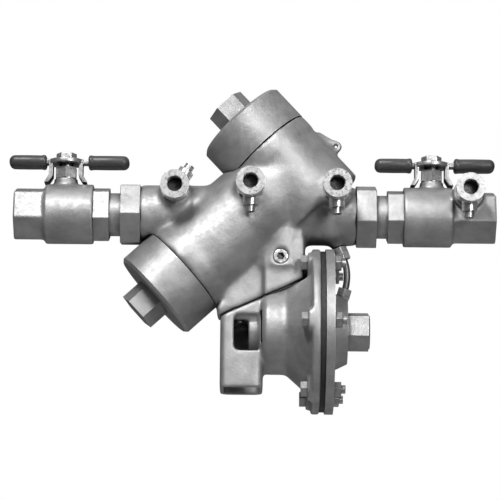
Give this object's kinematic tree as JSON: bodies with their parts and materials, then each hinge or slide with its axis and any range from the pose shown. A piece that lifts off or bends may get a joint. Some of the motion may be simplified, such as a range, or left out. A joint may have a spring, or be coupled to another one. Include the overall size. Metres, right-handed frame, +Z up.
{
  "type": "backflow preventer",
  "caption": "Reduced-pressure backflow preventer: two angled check valves, a hanging diaphragm relief valve, test cocks and T-handle ball shut-off valves joined by union nuts.",
  "frame": {"origin": "centre of the inlet port's face, on the line's axis", "axes": "+X out of the inlet port along the line, +Z up, -Y towards the test cocks; water runs along -X"},
  "size_m": [0.35, 0.118, 0.2354],
  "materials": {
    "cast_bronze": "sand-cast bronze, shown in neutral grey",
    "turned_brass": "machined, bright",
    "steel": "plated or stainless steel",
    "chrome_ball": "polished, hard chromed",
    "copper_tube": "dull drawn tube",
    "rubber": "moulded rubber",
    "vinyl": "dipped vinyl",
    "acetal": "moulded acetal",
    "ptfe": "turned PTFE"
  },
  "bodies": {
    "housing": {"main_body": "cast_bronze", "check1_cap": "cast_bronze", "check1_seat": "acetal", "check1_spring": "steel", "check2_cap": "cast_bronze", "check2_seat": "acetal", "check2_spring": "steel", "cap_orings": "rubber", "seat_orings": "rubber", "relief_body": "cast_bronze", "relief_gasket": "rubber", "relief_mount_bolts": "steel", "relief_cover": "cast_bronze", "cover_bolts": "steel", "cover_nuts": "steel", "relief_seat": "steel", "relief_spring": "steel", "relief_guide": "acetal", "cover_plug": "cast_bronze", "sensing_tube": "copper_tube", "sensing_connectors": "turned_brass", "sensing_nuts": "turned_brass", "inlet_valve_body": "cast_bronze", "inlet_tailpiece": "cast_bronze", "outlet_valve_body": "cast_bronze", "outlet_tailpiece": "cast_bronze", "gland_nuts": "turned_brass", "ball_seats": "ptfe", "stem_packings": "ptfe", "union_nuts": "cast_bronze", "union_orings": "rubber", "testcock_bodies": "turned_brass", "testcock_seals": "rubber", "passage_plug": "turned_brass"},
    "inlet_handle_set": {"inlet_ball": "chrome_ball", "inlet_stem": "steel", "inlet_handle": "steel", "inlet_grips": "vinyl", "inlet_handle_nut": "turned_brass"},
    "outlet_handle_set": {"outlet_ball": "chrome_ball", "outlet_stem": "steel", "outlet_handle": "steel", "outlet_grips": "vinyl", "outlet_handle_nut": "turned_brass"},
    "check1_moving": {"check1_poppet": "acetal", "check1_disc": "rubber", "check1_disc_screw": "steel"},
    "check2_moving": {"check2_poppet": "acetal", "check2_disc": "rubber", "check2_disc_screw": "steel"},
    "relief_moving": {"relief_stem": "steel", "relief_stem_nuts": "steel", "relief_disc": "rubber", "diaphragm_piston": "steel", "diaphragm_washer": "steel", "diaphragm": "rubber"},
    "testcock_plug_1": {"testcock_stem_1": "steel"},
    "testcock_plug_2": {"testcock_stem_2": "steel"},
    "testcock_plug_3": {"testcock_stem_3": "steel"},
    "testcock_plug_4": {"testcock_stem_4": "steel"}
  },
  "joints": [
    {"name": "inlet_valve_turn", "type": "hinge", "parent": "housing", "child": "inlet_handle_set", "pos_m": [-0.0455, 0, 0], "axis": [0, 0, 1], "range_deg": [0, 90]},
    {"name": "outlet_valve_turn", "type": "hinge", "parent": "housing", "child": "outlet_handle_set", "pos_m": [-0.309, 0, 0], "axis": [0, 0, 1], "range_deg": [0, 90]},
    {"name": "check1_lift", "type": "slide", "parent": "housing", "child": "check1_moving", "axis": [-0.682, 0, 0.7314], "range_m": [0, 0.01], "stiffness_N_per_m": 600, "springref_m": -0.012, "deforming": ["check1_spring"]},
    {"name": "check2_lift", "type": "slide", "parent": "housing", "child": "check2_moving", "axis": [-0.7373, 0, -0.6756], "range_m": [0, 0.01], "stiffness_N_per_m": 600, "springref_m": -0.012, "deforming": ["check2_spring"]},
    {"name": "relief_close", "type": "slide", "parent": "housing", "child": "relief_moving", "axis": [-1, 0, 0], "range_m": [0, 0.006], "stiffness_N_per_m": 1500, "springref_m": -0.003, "deforming": ["relief_spring", "diaphragm"]},
    {"name": "testcock_1_turn", "type": "hinge", "parent": "housing", "child": "testcock_plug_1", "pos_m": [-0.0204, -0.029, 0.0137], "axis": [0, 0, -1], "range_deg": [0, 90]},
    {"name": "testcock_2_turn", "type": "hinge", "parent": "housing", "child": "testcock_plug_2", "pos_m": [-0.1149, -0.0415, 0.013], "axis": [0, 0, -1], "range_deg": [0, 90]},
    {"name": "testcock_3_turn", "type": "hinge", "parent": "housing", "child": "testcock_plug_3", "pos_m": [-0.1759, -0.042, 0.014], "axis": [0, 0, -1], "range_deg": [0, 90]},
    {"name": "testcock_4_turn", "type": "hinge", "parent": "housing", "child": "testcock_plug_4", "pos_m": [-0.2295, -0.031, 0.0135], "axis": [0.5446, 0, 0.8387], "range_deg": [0, 90]}
  ]
}
